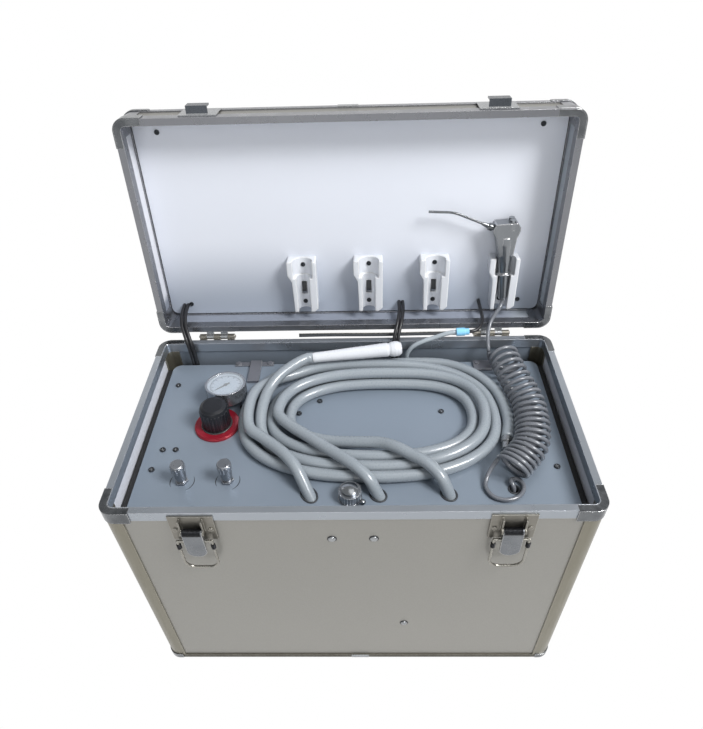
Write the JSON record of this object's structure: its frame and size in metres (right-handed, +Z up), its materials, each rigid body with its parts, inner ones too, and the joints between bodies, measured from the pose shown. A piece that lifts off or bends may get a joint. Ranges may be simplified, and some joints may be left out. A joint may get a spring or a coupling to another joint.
{
  "type": "portable dental unit",
  "caption": "Aluminium carrying case with its lid open, holding a dental air and water control panel, coiled handpiece hoses, holders and a three-way syringe.",
  "frame": {"origin": "middle of the case's footprint on the ground plane", "axes": "+X to the right seen from the front, +Y towards the hinged back, +Z up"},
  "size_m": [0.442, 0.3186, 0.5403],
  "materials": {
    "front_board": "satin",
    "dark_metal": "satin",
    "extrusion": "satin",
    "steel": "brushed",
    "panel_blue": "satin",
    "black_plastic": "matte",
    "gauge_metal": "satin",
    "lens": "clear",
    "red_plastic": "gloss",
    "white_plastic": "satin",
    "chrome": "polished",
    "clear_plastic": "gloss",
    "brass": "satin",
    "green_board": "gloss",
    "hose_grey": "satin",
    "cord_grey": "satin",
    "tube_black": "satin",
    "light_blue": "gloss",
    "lever_grey": "satin",
    "black_paint": "matte",
    "syringe_grey": "satin"
  },
  "bodies": {
    "case": {"wall_boards": "front_board", "floor_board": "dark_metal", "corner_posts": "extrusion", "base_frame": "extrusion", "rim_frame": "extrusion", "body_caps": "dark_metal", "fasteners": "steel", "body_hardware": "steel", "control_panel": "panel_blue", "panel_rails": "black_plastic", "gauge_case": "gauge_metal", "gauge_lens": "lens", "regulator": "dark_metal", "red_ring": "red_plastic", "panel_fittings": "white_plastic", "foot_coupler": "chrome", "rear_brackets": "steel", "compressor": "dark_metal", "rubber_mounts": "black_plastic", "air_tank": "white_plastic", "bottles": "clear_plastic", "valve_block": "brass", "circuit_board": "green_board", "fan_frame": "black_plastic", "power_inlet": "black_plastic", "turbine_hose": "hose_grey", "suction_hose": "hose_grey", "motor_hose": "hose_grey", "hose_connectors": "steel", "suction_handle": "white_plastic", "curly_cord": "cord_grey", "syringe_hose": "cord_grey", "hinge_tubes": "tube_black", "blue_coupling": "light_blue"},
    "lid": {"lid_frame": "extrusion", "lid_boards": "front_board", "lid_caps": "dark_metal", "lid_liner": "white_plastic", "handpiece_holders": "white_plastic", "lid_hardware": "steel"},
    "handle": {"lid_handle": "black_plastic"},
    "left_latch": {"left_lever": "lever_grey"},
    "right_latch": {"right_lever": "lever_grey"},
    "left_wire": {"left_bail": "chrome"},
    "right_wire": {"right_bail": "chrome"},
    "regulator_knob": {"regulator_knob": "black_plastic"},
    "water_knob": {"water_knob": "chrome"},
    "air_knob": {"air_knob": "chrome"},
    "needle": {"gauge_needle": "black_paint"},
    "coupler_ring": {"coupler_ring": "chrome"},
    "syringe": {"syringe_body": "syringe_grey"},
    "nozzle": {"syringe_nozzle": "chrome"},
    "air_button": {"air_button": "chrome"},
    "water_button": {"water_button": "chrome"},
    "switch_1": {"switch_lever_1": "lever_grey"},
    "switch_2": {"switch_lever_2": "lever_grey"},
    "switch_3": {"switch_lever_3": "lever_grey"},
    "rocker": {"power_rocker": "red_plastic"},
    "fan": {"fan_rotor": "black_plastic"}
  },
  "joints": [
    {"name": "lid_hinge", "type": "hinge", "parent": "case", "child": "lid", "pos_m": [0, 0.1232, 0.293], "axis": [1, 0, 0], "range_deg": [0, 96.3], "deforming": ["syringe_hose", "hinge_tubes", "blue_coupling"]},
    {"name": "handle_swing", "type": "hinge", "parent": "lid", "child": "handle", "pos_m": [0, 0.18542, 0.41008], "axis": [1, 0, 0], "range_deg": [-6.3, 83.7]},
    {"name": "left_lever_turn", "type": "hinge", "parent": "case", "child": "left_latch", "pos_m": [-0.14, -0.1222, 0.271], "axis": [-1, 0, 0], "range_deg": [0, 100]},
    {"name": "right_lever_turn", "type": "hinge", "parent": "case", "child": "right_latch", "pos_m": [0.14, -0.1222, 0.271], "axis": [-1, 0, 0], "range_deg": [0, 100]},
    {"name": "left_bail_turn", "type": "hinge", "parent": "left_latch", "child": "left_wire", "pos_m": [-0.14, -0.1228, 0.259], "axis": [1, 0, 0], "range_deg": [-180, 0]},
    {"name": "right_bail_turn", "type": "hinge", "parent": "right_latch", "child": "right_wire", "pos_m": [0.14, -0.1228, 0.259], "axis": [1, 0, 0], "range_deg": [-180, 0]},
    {"name": "regulator_turn", "type": "hinge", "parent": "case", "child": "regulator_knob", "pos_m": [-0.1406, 0.0075, 0.268], "axis": [0, 0, 1], "continuous": true},
    {"name": "water_turn", "type": "hinge", "parent": "case", "child": "water_knob", "pos_m": [-0.162, -0.064, 0.268], "axis": [0, 0, 1], "continuous": true},
    {"name": "air_turn", "type": "hinge", "parent": "case", "child": "air_knob", "pos_m": [-0.1185, -0.0635, 0.268], "axis": [0, 0, 1], "continuous": true},
    {"name": "needle_turn", "type": "hinge", "parent": "case", "child": "needle", "pos_m": [-0.135, 0.046, 0.292], "axis": [0, -0.1219, -0.9925], "range_deg": [0, 270]},
    {"name": "coupler_ring_turn", "type": "hinge", "parent": "case", "child": "coupler_ring", "pos_m": [-0.002, -0.084, 0.268], "axis": [0, 0, 1], "continuous": true},
    {"name": "syringe_lift", "type": "slide", "parent": "lid", "child": "syringe", "axis": [0, 0.1097, 0.994], "range_m": [0, 0.03], "deforming": ["syringe_hose"]},
    {"name": "nozzle_turn", "type": "hinge", "parent": "syringe", "child": "nozzle", "pos_m": [0.14861, 0.15467, 0.40945], "axis": [-0.9212, 0.0427, 0.3868], "continuous": true},
    {"name": "air_button_press", "type": "slide", "parent": "syringe", "child": "air_button", "axis": [0.068, -0.1095, -0.9917], "range_m": [0, 0.0025], "stiffness_N_per_m": 300, "springref_m": -0.001},
    {"name": "water_button_press", "type": "slide", "parent": "syringe", "child": "water_button", "axis": [0.068, -0.1095, -0.9917], "range_m": [0, 0.0025], "stiffness_N_per_m": 300, "springref_m": -0.001},
    {"name": "switch_1_press", "type": "hinge", "parent": "lid", "child": "switch_1", "pos_m": [-0.0548, 0.15813, 0.34236], "axis": [1, 0, 0], "range_deg": [0, 10], "stiffness_Nm_per_rad": 0.02, "springref_deg": -17.19},
    {"name": "switch_2_press", "type": "hinge", "parent": "lid", "child": "switch_2", "pos_m": [0.0183, 0.15813, 0.34236], "axis": [1, 0, 0], "range_deg": [0, 10], "stiffness_Nm_per_rad": 0.02, "springref_deg": -17.19},
    {"name": "switch_3_press", "type": "hinge", "parent": "lid", "child": "switch_3", "pos_m": [0.0912, 0.15813, 0.34236], "axis": [1, 0, 0], "range_deg": [0, 10], "stiffness_Nm_per_rad": 0.02, "springref_deg": -17.19},
    {"name": "power_switch", "type": "hinge", "parent": "case", "child": "rocker", "pos_m": [0.142, 0.1138, 0.06], "axis": [-1, 0, 0], "range_deg": [0, 20]},
    {"name": "fan_spin", "type": "hinge", "parent": "case", "child": "fan", "pos_m": [-0.11, 0.1118, 0.175], "axis": [0, 1, 0], "continuous": true}
  ]
}
